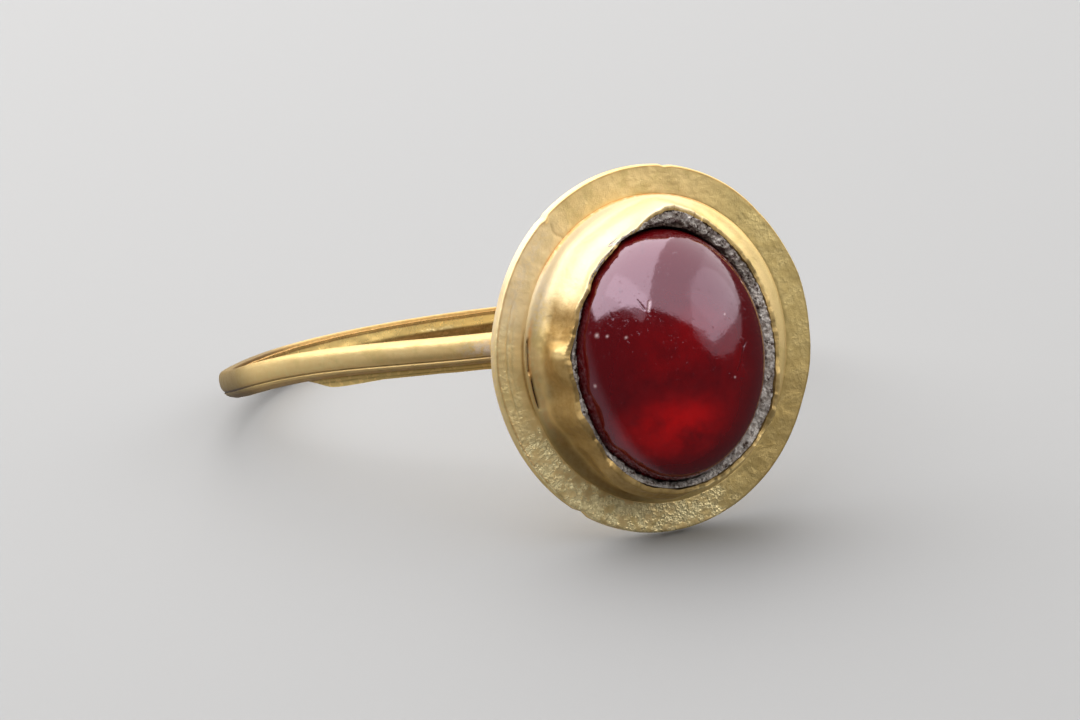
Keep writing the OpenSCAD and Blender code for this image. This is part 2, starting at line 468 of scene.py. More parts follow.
class Shader(Nodes):
    """Builds one procedural material, node by node."""

    def __init__(self, name: str) -> None:
        """Starts an empty material with a Principled surface.

        Args:
            name: the material's name.
        """
        self.material = bpy.data.materials.new(name)
        self.material.use_nodes = True
        super().__init__(self.material.node_tree)
        self.tree.nodes.clear()
        self.surface = self.tree.nodes.new("ShaderNodeBsdfPrincipled")
        output = self.tree.nodes.new("ShaderNodeOutputMaterial")
        self.join(self.surface.outputs["BSDF"], output.inputs["Surface"])
        self.coordinates = self.tree.nodes.new("ShaderNodeTexCoord").outputs["Object"]

    def stain(self, name: str) -> bpy.types.NodeSocket:
        """The value that a piece stores under a name."""
        return self.add("ShaderNodeAttribute", {}, attribute_name=name).outputs["Fac"]

    def grain(self, per_mm: float, detail: float = 3.0, roughness: float = 0.55) -> bpy.types.NodeSocket:
        """Cloudy noise with so many lumps a millimetre, and finer layers of some strength."""
        inputs = {"Vector": self.coordinates, "Scale": per_mm / MM, "Detail": detail, "Roughness": roughness}
        return self.add("ShaderNodeTexNoise", inputs).outputs["Fac"]

    def cells(self, per_mm: float) -> bpy.types.NodeSocket:
        """Distance to the nearest of many cell middles, so many a millimetre."""
        inputs = {"Vector": self.coordinates, "Scale": per_mm / MM}
        return self.add("ShaderNodeTexVoronoi", inputs).outputs["Distance"]

    def sum(self, kind: Sum, a: object, b: object) -> bpy.types.NodeSocket:
        """Two values, each a socket or a plain number, joined by a sum."""
        return self.add("ShaderNodeMath", {0: a, 1: b}, operation=kind.value).outputs["Value"]

    def times(self, a: object, b: object) -> bpy.types.NodeSocket:
        """One value times another."""
        return self.sum(Sum.TIMES, a, b)

    def plus(self, a: object, b: object) -> bpy.types.NodeSocket:
        """One value and another together."""
        return self.sum(Sum.PLUS, a, b)

    def minus(self, a: object, b: object) -> bpy.types.NodeSocket:
        """One value less another."""
        return self.sum(Sum.MINUS, a, b)

    def most(self, a: object, b: object) -> bpy.types.NodeSocket:
        """The greater of two values."""
        return self.sum(Sum.MOST, a, b)

    def blend(self, amount: object, under: object, over: object) -> bpy.types.NodeSocket:
        """One colour laid over another by an amount."""
        inputs = {"Factor": amount, "A": under, "B": over}
        return self.add("ShaderNodeMix", inputs, data_type="RGBA").outputs["Result"]

    def relief(self, height: bpy.types.NodeSocket, depth_mm: float, strength: object = 1.0,
               under: bpy.types.NodeSocket | None = None) -> bpy.types.NodeSocket:
        """Bumps the surface by a height, so many millimetres deep, over an earlier bump.

        Args:
            height: the bump's height, from 0 to 1.
            depth_mm: its depth in millimetres.
            strength: how much of it shows.
            under: the earlier bump, if there is one.

        Returns:
            The bumped normal.
        """
        inputs = {"Distance": depth_mm * MM, "Strength": strength, "Height": height}
        if under is not None:
            inputs["Normal"] = under
        return self.add("ShaderNodeBump", inputs).outputs["Normal"]


@dataclass(frozen=True)
class GoldFinish:
    """Old sheet gold: pale and satin, dull in patches, brown in its hollows, sparkling where granular, with
    painted glints on its grains and painted light where it faces the lamps.
    """

    name: str
    pale: Colour = (0.90, 0.67, 0.31, 1.0)
    dull_and_shade: Colour = (0.62, 0.47, 0.17, 1.0)
    brown: Colour = (0.29, 0.155, 0.035, 1.0)
    soot_and_shade: Colour = (0.055, 0.030, 0.014, 1.0)
    copper: Colour = (0.84, 0.42, 0.13, 1.0)
    dust: Colour = (0.66, 0.60, 0.56, 1.0)
    edge_tint: Colour = (0.85, 0.66, 0.40, 1.0)
    # The colour of the painted glints.
    painted_glint: Colour = (1.0, 0.88, 0.50, 1.0)
    # The colour of the painted light.
    painted_light: Colour = (0.92, 0.76, 0.53, 1.0)
    skin: float = 0.36
    satin: float = 0.41
    satin_range: float = 0.22
    tooth: float = 1.0
    mottle: float = 0.5
    patch_per_mm: float = 1.6
    facets_per_mm: float = 8.5
    brown_least: float = 0.65
    brown_spread: float = 0.7
    facet_painted_glint: float = 0.75
    facet_brown: float = 0.25
    facet_skin: float = 0.4
    facet_polish: float = 0.26
    facet_deep: float = 0.038
    fine_facet_deep: float = 0.02

    # Where each noise starts to show, and where it shows in full.
    patch_span: Span = (0.42, 0.68)
    facet_span: Span = (0.34, 0.6)
    between_span: Span = (0.42, 0.78)
    painted_glint_span: Span = (0.47, 0.60)
    core_span: Span = (0.12, 0.5)
    copper_span: Span = (0.3, 0.55)
    dust_span: Span = (0.35, 0.6)
    speckle_span: Span = (0.5, 0.72)

    def material(self) -> bpy.types.Material:
        """Builds the finish.

        Returns:
            The material, which reads the stains named dull, brown, copper, dust, grain and skin, the soot
            stain that also carries painted shade, and the stain for painted light.
        """
        s = Shader(self.name)
        # Painted light: a pale cream laid where the parts face the lamps, and made less metallic there.
        painted_light, soot_and_shade = s.stain("painted_light"), s.stain("soot_and_shade")
        patches = s.ramp(s.grain(self.patch_per_mm, 5.0, 0.6), *self.patch_span)
        # The dull stain also carries painted shade on the lower and right-hand parts.
        dull_and_shade = s.most(s.times(patches, self.mottle), s.times(s.stain("dull_and_shade"), 0.9))
        facets = s.times(s.stain("grain"), s.ramp(s.grain(2.6, 4.0), *self.facet_span))
        cells = s.cells(self.facets_per_mm)
        between = s.times(facets, s.ramp(cells, *self.between_span))
        cores = s.minus(1.0, s.ramp(cells, *self.core_span))
        # Painted glints on the cores of some grains, which are also made a little less metallic.
        painted_glints = s.times(facets, s.times(s.ramp(s.grain(7.0), *self.painted_glint_span), cores))
        clouded = s.plus(self.brown_least, s.times(s.grain(6.0, 4.0), self.brown_spread))
        brown = s.times(s.stain("brown"), clouded)
        copper = s.times(s.stain("copper"), s.ramp(s.grain(5.0, 3.0), *self.copper_span))
        dust = s.times(s.stain("dust"), s.ramp(s.grain(7.0, 4.0), *self.dust_span))
        layers = (
            (dull_and_shade, self.dull_and_shade),
            (painted_light, self.painted_light),
            # The grains are tinted towards the colour of the painted glints.
            (s.times(facets, self.facet_painted_glint), self.painted_glint),
            (s.times(between, self.facet_brown), self.brown),
            (painted_glints, self.painted_glint),
            (brown, self.brown),
            (copper, self.copper),
            (dust, self.dust),
            # The soot stain also carries painted shade in the collar's valley and on the lining under its rim
            # and towards the plate.
            (soot_and_shade, self.soot_and_shade),
        )
        colour: object = self.pale
        for amount, tint in layers:
            colour = s.blend(amount, colour, tint)
        s.join(colour, s.surface.inputs["Base Color"])
        skin = s.plus(s.plus(self.skin, s.stain("skin")), s.times(facets, self.facet_skin))
        skin = s.plus(skin, s.times(painted_light, 0.5))
        scattered = s.most(dust, s.plus(skin, s.times(painted_glints, 0.3)))
        scattered = s.sum(Sum.LEAST, s.most(scattered, soot_and_shade), 1.0)
        scattered = s.most(scattered, s.times(brown, 0.7))
        s.join(s.minus(1.0, scattered), s.surface.inputs["Metallic"])
        s.surface.inputs["Specular Tint"].default_value = self.edge_tint
        satin = s.plus(self.satin - self.satin_range / 2, s.times(s.grain(4.0, 4.0), self.satin_range))
        satin = s.plus(s.minus(satin, s.times(facets, self.facet_polish)), s.times(dust, 0.4))
        s.join(satin, s.surface.inputs["Roughness"])
        speckle = s.ramp(s.grain(14.0, 4.0, 0.65), *self.speckle_span)
        fine = s.relief(s.grain(22.0, 4.0, 0.6), 0.012, 0.5 * self.tooth)
        pits = s.relief(speckle, 0.006, 0.35 * self.tooth, fine)
        sparkle = s.relief(cells, self.facet_deep, facets, pits)
        finer = s.relief(s.cells(2.1 * self.facets_per_mm), self.fine_facet_deep, facets, sparkle)
        s.join(finer, s.surface.inputs["Normal"])
        return s.material


@dataclass(frozen=True)
class FillerFinish:
    """Grey-white crumbly filler with dark pits, painted darker in shade next to the stone."""

    name: str = "crumbly_filler"
    pale: Colour = (0.66, 0.61, 0.56, 1.0)
    grey: Colour = (0.34, 0.29, 0.25, 1.0)
    dark: Colour = (0.075, 0.045, 0.032, 1.0)
    pale_span: Span = (0.38, 0.6)
    pit_span: Span = (0.52, 0.64)
    roughness: float = 0.75
    shine: float = 0.35
    crumb_deep: float = 0.08
    sand_deep: float = 0.03

    def material(self) -> bpy.types.Material:
        """Builds the finish, which reads the stain named shade."""
        s = Shader(self.name)
        colour = s.blend(s.ramp(s.grain(5.0, 5.0, 0.6), *self.pale_span), self.grey, self.pale)
        colour = s.blend(s.ramp(s.grain(5.5, 5.0, 0.7), *self.pit_span), colour, self.dark)
        # Painted shade: the filler is darkened next to the stone, where the gap lies in shadow.
        colour = s.blend(s.stain("shade"), colour, self.dark)
        s.join(colour, s.surface.inputs["Base Color"])
        s.surface.inputs["Roughness"].default_value = self.roughness
        s.surface.inputs["Specular IOR Level"].default_value = self.shine
        coarse = s.relief(s.cells(8.0), self.crumb_deep, 0.8)
        sand = s.relief(s.grain(26.0, 4.0, 0.7), self.sand_deep, 0.6, coarse)
        s.join(sand, s.surface.inputs["Normal"])
        return s.material


@dataclass(frozen=True)
class StoneFinish:
    """Polished deep red stone with scratches and tiny pits, its red painted lighter in the middle and darker
    at the edges, with a painted glow low in its middle.
    """

    name: str = "red_stone"
    # The red is painted darkest at the edges, lighter over the middle and brightest in the painted glow, in
    # place of light shining through the stone.
    dark: Colour = (0.080, 0.0012, 0.0024, 1.0)
    red: Colour = (0.19, 0.0010, 0.0020, 1.0)
    glow: Colour = (0.56, 0.0012, 0.0012, 1.0)
    scar: Colour = (0.025, 0.001, 0.001, 1.0)
    speck: Colour = (0.75, 0.55, 0.55, 1.0)
    sheen_tint: Colour = (1.0, 0.80, 0.97, 1.0)
    lustre: float = 0.64
    polish: float = 0.09
    worn_polish: float = 0.09
    bend: float = 1.74
    painted_light_middle_span: Span = (0.25, 0.7)
    painted_glow_span: Span = (0.05, 0.75)
    worn_span: Span = (0.4, 0.75)
    pit_span: Span = (0.62, 0.74)
    wave_deep: float = 0.02
    pit_deep: float = 0.015

    def material(self) -> bpy.types.Material:
        """Builds the finish, which reads the stains for the painted glow, the painted light in the middle,
        the scars and the specks.
        """
        s = Shader(self.name)
        # Painted light: a lighter red over the middle, broken up by cloudy inclusions, and dark towards the
        # edges.
        clouds = s.grain(0.9, 6.0, 0.65)
        painted_light_middle = s.times(s.stain("painted_light_middle"), s.ramp(clouds, *self.painted_light_middle_span))
        colour = s.blend(painted_light_middle, self.dark, self.red)
        # Painted glow: a bright red low in the middle stands in for light shining through the stone.
        glow = s.times(s.stain("glow"), s.ramp(s.grain(1.7, 5.0, 0.6), *self.painted_glow_span))
        colour = s.blend(glow, colour, self.glow)
        colour = s.blend(s.stain("scar"), colour, self.scar)
        colour = s.blend(s.stain("speck"), colour, self.speck)
        s.join(colour, s.surface.inputs["Base Color"])
        s.surface.inputs["IOR"].default_value = self.bend
        s.surface.inputs["Specular IOR Level"].default_value = self.lustre
        s.surface.inputs["Specular Tint"].default_value = self.sheen_tint
        worn = s.times(s.ramp(s.grain(3.0, 6.0, 0.7), *self.worn_span), self.worn_polish)
        s.join(s.plus(worn, self.polish), s.surface.inputs["Roughness"])
        waves = s.relief(s.grain(1.3, 4.0, 0.6), self.wave_deep, 0.5)
        pits = s.relief(s.ramp(s.grain(9.0, 5.0, 0.7), *self.pit_span), self.pit_deep, 0.4, waves)
        s.join(pits, s.surface.inputs["Normal"])
        return s.material


@dataclass(frozen=True)
class FloorFinish:
    """A plain pale studio floor."""

    name: str = "pale_floor"
    colour: Colour = (0.265, 0.262, 0.26, 1.0)
    cloud: float = 0.97
    roughness: float = 0.9

    def material(self) -> bpy.types.Material:
        """Builds the finish."""
        s = Shader(self.name)
        clouded = tuple(c * self.cloud for c in self.colour)
        s.join(s.blend(s.grain(0.01, 2.0), self.colour, clouded), s.surface.inputs["Base Color"])
        s.surface.inputs["Roughness"].default_value = self.roughness
        return s.material


# The setting


@dataclass
class SettingSizes:
    """Sizes that the plate, the collar, the filler and the stone share."""

    stone_w: float = 6.06
    stone_h: float = 7.48
    stone_shift: float = 0.36
    stone_low: float = 0.08
    girdle: float = 1.1
    dome_h: float = 2.7
    stone_base: float = 0.7
    filler_w: float = 0.5
    wall_t: float = 0.15
    collar_h: float = 1.55
    foot_side: float = 1.36
    foot_end: float = 0.86
    plate_margin: float = 0.91

    # Clock angle, share of the filler's band, share of the wall's thickness, share of the collar's height.
    rim: tuple[tuple[float, float, float, float], ...] = (
        (0, 0.80, 0.95, 0.99), (8, 1.15, 1.05, 1.06), (15, 1.10, 1.05, 0.98), (30, 0.88, 0.95, 1.00),
        (45, 0.82, 0.95, 0.96), (56, 0.80, 1.00, 1.00), (64, 0.98, 0.90, 0.90), (75, 0.94, 0.95, 0.98),
        (90, 0.98, 1.00, 1.00), (105, 0.98, 1.00, 1.00), (120, 1.10, 1.20, 0.97), (128, 1.14, 1.00, 0.86),
        (135, 0.92, 1.10, 0.97), (150, 0.60, 0.95, 1.00), (165, 0.50, 0.90, 0.98), (180, 0.42, 0.90, 1.00),
        (195, 0.46, 0.95, 0.98), (210, 0.52, 1.15, 1.02), (222, 0.52, 1.30, 1.00), (230, 0.38, 0.80, 0.87),
        (240, 0.36, 0.80, 0.94), (250, 0.66, 1.50, 1.06), (260, 0.40, 0.80, 0.95), (270, 0.52, 1.05, 1.00),
        (280, 0.42, 1.00, 0.97), (290, 0.32, 0.75, 1.00), (300, 0.32, 0.95, 0.96), (310, 0.34, 0.85, 1.02),
        (320, 0.34, 0.95, 1.00), (330, 0.32, 0.80, 0.98), (340, 0.34, 0.70, 0.93), (350, 0.50, 0.75, 0.99),
        (360, 0.80, 0.95, 0.99),
    )

    def oval(self, x: float | Array, z: float | Array, angle: Array) -> Array:
        """Places on an oval, right and up, at clock angles."""
        turn = np.radians(angle)
        return np.column_stack([x * np.sin(turn), z * np.cos(turn)])

    def around_stone(self, angle: Array, offset: float | Array) -> Array:
        """Places round the stone's widest line, moved outwards by an offset."""
        round_stone = self.oval(self.stone_w / 2 + offset, self.stone_h / 2 + offset, angle)
        return round_stone - np.array([self.stone_shift, self.stone_low])

    def band(self, angle: Array) -> Array:
        """Width from the stone to the collar's inner face."""
        return self.filler_w * eased_table_at(self.rim, angle, 1)

    def wall(self, angle: Array) -> Array:
        """Thickness of the collar's wall."""
        return self.wall_t * eased_table_at(self.rim, angle, 2)

    def rim_height(self, angle: Array) -> Array:
        """Height of the collar's torn rim."""
        return self.collar_h * eased_table_at(self.rim, angle, 3, 2.5)

    def foot(self, angle: Array) -> Array:
        """Places on the collar's foot."""
        return self.oval(self.stone_w / 2 + self.foot_side, self.stone_h / 2 + self.foot_end, angle)


@dataclass
class BezelPlate:
    """The nearly round plate: worn outline, hammered face, granular lower left, bevelled back."""

    lie: Lie
    sizes: SettingSizes
    finish: bpy.types.Material
    columns: int = 720
    face_rings: int = 44
    under_collar: float = 0.35
    inner_insets: tuple[float, ...] = (3.2, 2.0)
    hairline_clock: float = 323.0
    hammered: tuple[Lumps, ...] = (
        Lumps(0.016, 0.9, 1, 2), Lumps(0.006, 0.35, 4, 2), Lumps(0.004, 0.12, 2, 2),
    )
    clumps: Lumps = Lumps(0.9, 0.6, 5, 2)
    grit: Lumps = Lumps(0.007, 0.12, 3, 3)

    # Where the face is granular, and where two fine grooves run along its left edge.
    low_grain: Arc = Arc(158, 250, 22)
    left_grain: Arc = Arc(242, 288, 20, 0.30)
    right_grain: Arc = Arc(40, 165, 30, 0.16)
    grain_ends: Span = (0.78, 0.95)
    outer_groove: Arc = Arc(256, 296, 12, -0.022)
    inner_groove: Arc = Arc(262, 290, 10, -0.012)

    # Where the plate is stained, where shade and light are painted on, and how strongly.
    dull_and_shaded_arcs: tuple[Arc, ...] = (Arc(30, 165, 40, 0.8), Arc(250, 300, 30, 0.15))
    shade_arcs: tuple[Arc, ...] = (Arc(60, 160, 30, 0.12), Arc(102, 152, 30, 0.26))
    copper_seam: Arc = Arc(308, 24, 16, 0.9)
    copper_edge: Arc = Arc(230, 60, 30, 0.5)
    brown_seam: Arc = Arc(254, 284, 8, 0.8)
    dusty_groove: Arc = Arc(288, 318, 16, 0.3)
    dusty_side: Arc = Arc(250, 300, 24, 0.3)
    # Painted light: the upper left of the face and of the side are painted paler, facing the lamps.
    painted_light_face: Arc = Arc(280, 325, 24, 0.35)
    painted_light_side: Arc = Arc(300, 345, 16, 0.6)

    # Clock angle, share of the margin worn off the outline.
    wear: tuple[tuple[float, float], ...] = (
        (0, 0.02), (9, 0.02), (11, 0.07), (14, 0.02), (36, 0.02), (50, 0.05), (63, 0.03), (75, -0.02),
        (92, 0.02), (103, 0.00), (115, 0.05), (130, 0.03), (142, 0.03), (160, 0.03), (176, 0.02), (184, 0.02),
        (195, 0.00), (213, 0.00), (216, 0.08), (219, 0.01), (240, -0.01), (258, -0.04), (270, -0.08),
        (280, -0.08), (292, -0.02), (310, -0.02), (321, -0.01), (323, 0.02), (325, -0.02), (340, 0.00),
        (360, 0.02),
    )

    # Inset from the outline and depth behind the front, past the face: the rounded edge and the sloping back.
    edge: tuple[tuple[float, float], ...] = (
        (0.060, 0.000), (0.042, 0.004), (0.024, 0.014), (0.010, 0.034), (0.002, 0.062), (0.000, 0.095),
        (0.000, 0.150), (0.000, 0.210), (0.000, 0.270), (0.006, 0.315), (0.022, 0.355), (0.060, 0.400),
        (0.130, 0.460), (0.200, 0.520), (0.270, 0.580), (0.330, 0.630), (0.400, 0.670), (0.480, 0.692),
        (0.560, 0.700), (0.900, 0.700), (1.600, 0.700), (3.000, 0.700),
    )

    def outline(self, angle: Array, inset: Array) -> Array:
        """Places inside the worn outline by an inset.

        Args:
            angle: clock angles in degrees.
            inset: how far in from the outline, in millimetres.

        Returns:
            Places on the plate, right and up.
        """
        s = self.sizes
        worn = s.plate_margin * table_at(self.wear, angle, 1)
        across = s.stone_w / 2 + s.foot_side + s.plate_margin - worn
        along = s.stone_h / 2 + s.foot_end + s.plate_margin - worn
        return s.oval(across, along, angle) * (1.0 - inset / (0.5 * (across + along)))[:, None]

    def build(self) -> bpy.types.Object:
        """Models and dresses the plate.

        Returns:
            The plate.
        """
        under_collar = self.sizes.plate_margin + self.under_collar
        radius = self.sizes.stone_h / 2 + self.sizes.foot_end + self.sizes.plate_margin
        inner = [(inset, 0.0) for inset in (radius, *self.inner_insets)]
        face = [(x, 0.0) for x in np.linspace(under_collar, 0.05, self.face_rings)]
        section = np.array(inner + face + list(self.edge) + [(radius, self.lie.plate_t)])
        laid = tube("bezel_plate", self.columns, len(section))
        inset = section[laid.ring, 0]
        depth = section[laid.ring, 1]
        inset = np.where(inset >= radius, self.mean_radius(laid.angle), inset)
        flat = self.outline(laid.angle, inset)
        height = -depth + self.relief(laid.angle, inset, depth, flat)
        laid.lay(self.lie.setting(raised(flat, height)))
        self.stains(laid, inset, depth)
        laid.close(self.finish)
        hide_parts("ring_body")
        return laid.piece

    def mean_radius(self, angle: Array) -> Array:
        """The inset at which the outline shrinks to a point.

        Args:
            angle: clock angles in degrees.

        Returns:
            The inset at each angle, in millimetres.
        """
        s = self.sizes
        worn = s.plate_margin * table_at(self.wear, angle, 1)
        return s.stone_w / 4 + s.foot_side / 2 + s.stone_h / 4 + s.foot_end / 2 + s.plate_margin - worn

    def granular(self, angle: Array, inset: Array) -> Array:
        """How granular the face is: dense at the lower left and the bottom, sparse at both sides.

        Args:
            angle: clock angles in degrees.
            inset: how far in from the outline, in millimetres.

        Returns:
            A share from 0 to 1 at each place.
        """
        left = self.left_grain.at(angle) * (1.0 - soft_step(inset, 0.5, 0.8))
        sides = np.maximum(left, self.right_grain.at(angle))
        return np.maximum(self.low_grain.at(angle), sides) * (1.0 - soft_step(inset, *self.grain_ends))

    def hairline(self, angle: Array, inset: Array) -> Array:
        """The hairline crack that runs in from the plate's upper left edge, from 0 to 1."""
        wander = 0.7 * np.sin(inset * 9.0)
        return bump_at(clock_off(angle, self.hairline_clock + wander), 0.0, 0.34) * soft_step(inset, 0.2, 0.3)

    def relief(self, angle: Array, inset: Array, depth: Array, flat: Array) -> Array:
        """Height of the hammered, scratched and granular face over flat.

        Args:
            angle: clock angles in degrees.
            inset: how far in from the outline, in millimetres.
            depth: how far behind the front, in millimetres.
            flat: places on the plate, right and up.

        Returns:
            Heights in millimetres.
        """
        s = self.sizes
        face = soft_step(-depth, -0.2, -0.01) * (1.0 - soft_step(inset, 1.1, 1.3))
        places = np.column_stack([flat, np.zeros(len(flat))])
        clumps = np.clip(0.8 + self.clumps.at(places), 0.2, 1.5)
        grit = self.granular(angle, inset) * clumps * self.grit.at(places)
        groove = bump_at(inset, 0.36, 0.022) * self.outer_groove.at(angle)
        groove += bump_at(inset, 0.52, 0.02) * self.inner_groove.at(angle)
        crack = -0.008 * self.hairline(angle, inset)
        torn = 0.03 * bump_at(clock_off(angle, self.hairline_clock), 0.0, 1.2) * bump_at(inset, 0.08, 0.05)
        low_seat = -0.02 * soft_step(inset, s.plate_margin - 0.12, s.plate_margin + 0.05)
        return face * (uneven(self.hammered, places) + grit + groove + crack + torn + low_seat)

    def stains(self, laid: Laid, inset: Array, depth: Array) -> None:
        """Stores where the plate is dull, brown, coppery, dusty or granular, and where shade and light are
        painted on.

        Args:
            laid: the drawn tube.
            inset: how far in from the outline, in millimetres.
            depth: how far behind the front, in millimetres.
        """
        angle = laid.angle
        margin = self.sizes.plate_margin
        laid.stain("grain", self.granular(angle, inset) * (depth < 0.05))
        # Duller on the right, partly as painted shade.
        laid.stain("dull_and_shade", sum_of(self.dull_and_shaded_arcs, angle))
        seam = bump_at(inset, margin, 0.05)
        edge_line = bump_at(inset, 0.06, 0.02) * (depth < 0.03)
        side = soft_step(depth, 0.07, 0.13)
        laid.stain("copper", seam * self.copper_seam.at(angle) + edge_line * self.copper_edge.at(angle))
        # The shade arcs paint shade on the lower right, as brown.
        laid.stain("brown", seam * self.brown_seam.at(angle) + 0.4 * edge_line + 0.2 * (depth > 0.45)
                   + sum_of(self.shade_arcs, angle) + 0.45 * self.hairline(angle, inset) * (depth < 0.05))
        laid.stain("dust", self.dusty_groove.at(angle) * bump_at(inset, 0.35, 0.2)
                   + side * self.dusty_side.at(angle))
        # Painted light on the upper left.
        laid.stain("painted_light", self.painted_light_face.at(angle) + side * self.painted_light_side.at(angle))


@dataclass(frozen=True)
class Dent:
    """A soft dent in the collar's wall."""

    clock: float
    share: float
    wide: float
    tall: float
    deep: float


@dataclass
class Collar:
    """The collar: flared foot, dented wall and torn rim, one sheet that is soldered to the plate."""

    lie: Lie
    sizes: SettingSizes
    finish: bpy.types.Material
    columns: int = 900
    outer_rings: int = 54
    lip_rings: int = 5
    inner_rings: int = 12
    slot_deep: float = 0.10
    wrinkles: tuple[Lumps, ...] = (Lumps(0.020, 0.75, 11, 2), Lumps(0.006, 0.16, 12, 2))
    crumple: Lumps = Lumps(0.030, 0.34, 13, 3)
    waves: tuple[Lumps, ...] = (Lumps(0.06, 0.34, 14, 2), Lumps(0.045, 0.13, 16, 4))

    # How far the wall bulges out or falls in on the left, and where its rim is chipped and its foot cracked.
    bulge: Arc = Arc(178, 226, 24, 0.17)
    shoulder: Arc = Arc(300, 352, 14, -0.16)
    ledge_out: float = 0.17
    chipped: Arc = Arc(230, 40, 20, 0.06)
    low_crack: Arc = Arc(256, 268, 3)
    high_crack: Arc = Arc(270, 282, 3)

    # Where the collar is stained, where shade, light and an orange reflection are painted on, and how
    # strongly.
    brown_wall: tuple[Arc, ...] = (Arc(178, 299, 14, 0.75), Arc(40, 140, 40, 0.35))
    clean_ledge: Arc = Arc(276, 283, 3, 0.8)
    painted_shade_valley: Arc = Arc(195, 248, 20, 0.8)
    painted_orange_reflection: Arc = Arc(240, 278, 14, 0.3)
    rust: Arc = Arc(258, 288, 8, 0.9)
    copper_foot: Arc = Arc(308, 30, 20, 0.9)
    dusty: Arc = Arc(286, 306, 10, 0.35)
    # Painted light: the upper left of the wall and of the foot are painted paler, facing the lamps.
    painted_light_wall: Arc = Arc(298, 25, 24, 0.6)
    painted_light_foot: Arc = Arc(275, 310, 20, 0.3)

    # Share of the way in from the foot to the rim, share of the rim's height.
    flare: tuple[tuple[float, float], ...] = (
        (-0.06, -0.02), (0.00, 0.02), (0.10, 0.050), (0.34, 0.085), (0.55, 0.16), (0.70, 0.30), (0.80, 0.50),
        (0.90, 0.74), (0.97, 0.93), (1.00, 0.985),
    )

    # Below 0 deep, the wall stands out instead.
    dents: tuple[Dent, ...] = (
        Dent(290, 0.66, 6.0, 0.34, 0.08), Dent(263, 0.62, 6.0, 0.30, 0.06),
        Dent(255, 0.30, 4.5, 0.16, -0.06), Dent(245, 0.60, 7.0, 0.30, 0.05),
        Dent(236, 0.50, 4.0, 0.30, -0.04), Dent(222, 0.35, 12.0, 0.22, 0.08),
        Dent(200, 0.40, 7.0, 0.20, 0.09), Dent(335, 0.75, 4.0, 0.12, 0.04),
        Dent(262, 0.20, 3.0, 0.10, -0.05),
    )

    def build(self) -> bpy.types.Object:
        """Models and dresses the collar.

        Returns:
            The collar.
        """
        outer = flow(self.flare, self.outer_rings)
        lip = self.lip_rings
        inner = np.linspace(1.0, -0.04, self.inner_rings)
        rings = len(outer) + lip + len(inner) + 1
        laid = tube("collar", self.columns, rings)
        angle, ring = laid.angle, laid.ring
        on_outer = ring < len(outer)
        on_lip = (ring >= len(outer)) & (ring < len(outer) + lip)
        share_in = np.where(on_outer, outer[np.minimum(ring, len(outer) - 1), 0], 1.0)
        share_up = np.where(on_outer, outer[np.minimum(ring, len(outer) - 1), 1], 1.0)
        across = np.where(on_lip, (ring - len(outer) + 1) / (lip + 1), 0.0)
        inner_ring = np.clip(ring - len(outer) - lip, 0, len(inner) - 1)
        on_inner = ring >= len(outer) + lip
        share_up = np.where(on_inner, inner[inner_ring], share_up)
        across = np.where(on_inner, 1.0, across)
        last = ring == rings - 1
        places = self.shape(angle, share_in, share_up, across, on_inner | on_lip)
        first = self.shape(angle, np.full_like(angle, outer[0, 0]), np.full_like(angle, outer[0, 1]),
                           np.zeros_like(angle), np.zeros_like(on_inner))
        places[last] = first[last]
        laid.lay(self.lie.setting(places))
        self.stains(laid, share_in, share_up, across)
        laid.close(self.finish)
        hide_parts("ring_body")
        return laid.piece

    def shape(self, angle: Array, share_in: Array, share_up: Array, across: Array,
              inside: Array) -> Array:
        """Places on the collar.

        Args:
            angle: clock angles.
            share_in: share of the way from the foot to the rim.
            share_up: share of the rim's height.
            across: share of the way across the wall, 0 on the outer face and 1 on the inner.
            inside: whether a place is on the lip or the inner face.

        Returns:
            Places as right, height, up.
        """
        s = self.sizes
        band = s.band(angle)
        ragged = self.ragged(angle)
        rim_in = s.around_stone(angle, band)
        rim_out = s.around_stone(angle, band + s.wall(angle))
        flat = s.foot(angle) * (1 - share_in)[:, None] + rim_out * share_in[:, None]
        flat = flat * (1 - across)[:, None] + rim_in * across[:, None]
        height = share_up * s.rim_height(angle) + ragged * soft_step(share_up, 0.62, 1.0)
        outward = flat / np.linalg.norm(flat, axis=1)[:, None]
        push = self.dented(angle, share_up) * np.where(inside, soft_step(share_up, 0.6, 0.9), 1.0)
        places = np.column_stack([flat, height])
        wrinkle = uneven(self.wrinkles, places) * soft_step(share_in, 0.1, 0.7)
        flat = flat + outward * (push + wrinkle)[:, None]
        crumpled = soft_step(share_up, 0.82, 1.0) * self.crumple.at(places * [1, 1, 0.3])
        flat = flat + outward * crumpled[:, None]
        height = height - self.slot_deep * self.slots(angle, share_in) * (1 - across)
        return raised(flat, height)

    def slots(self, angle: Array, share_in: Array) -> Array:
        """Two short cracks where the foot has come away from the plate, on the left.

        Args:
            angle: clock angles in degrees.
            share_in: share of the way from the foot to the rim.

        Returns:
            How open they are at each place, from 0 to 1.
        """
        low = self.low_crack.at(angle) * bump_at(share_in, 0.16, 0.05)
        high = self.high_crack.at(angle) * bump_at(share_in, 0.07, 0.05)
        return np.maximum(low, high)

    def ragged(self, angle: Array) -> Array:
        """How far the torn rim stands above or below its table, in millimetres.

        Args:
            angle: clock angles in degrees.

        Returns:
            A height at each angle.
        """
        ring = around(1.0, angle, 0.0)
        chips = soft_step(rough(ring, 0.16, 15, 2), 0.15, 0.40) * self.chipped.at(angle)
        return uneven(self.waves, ring) - chips

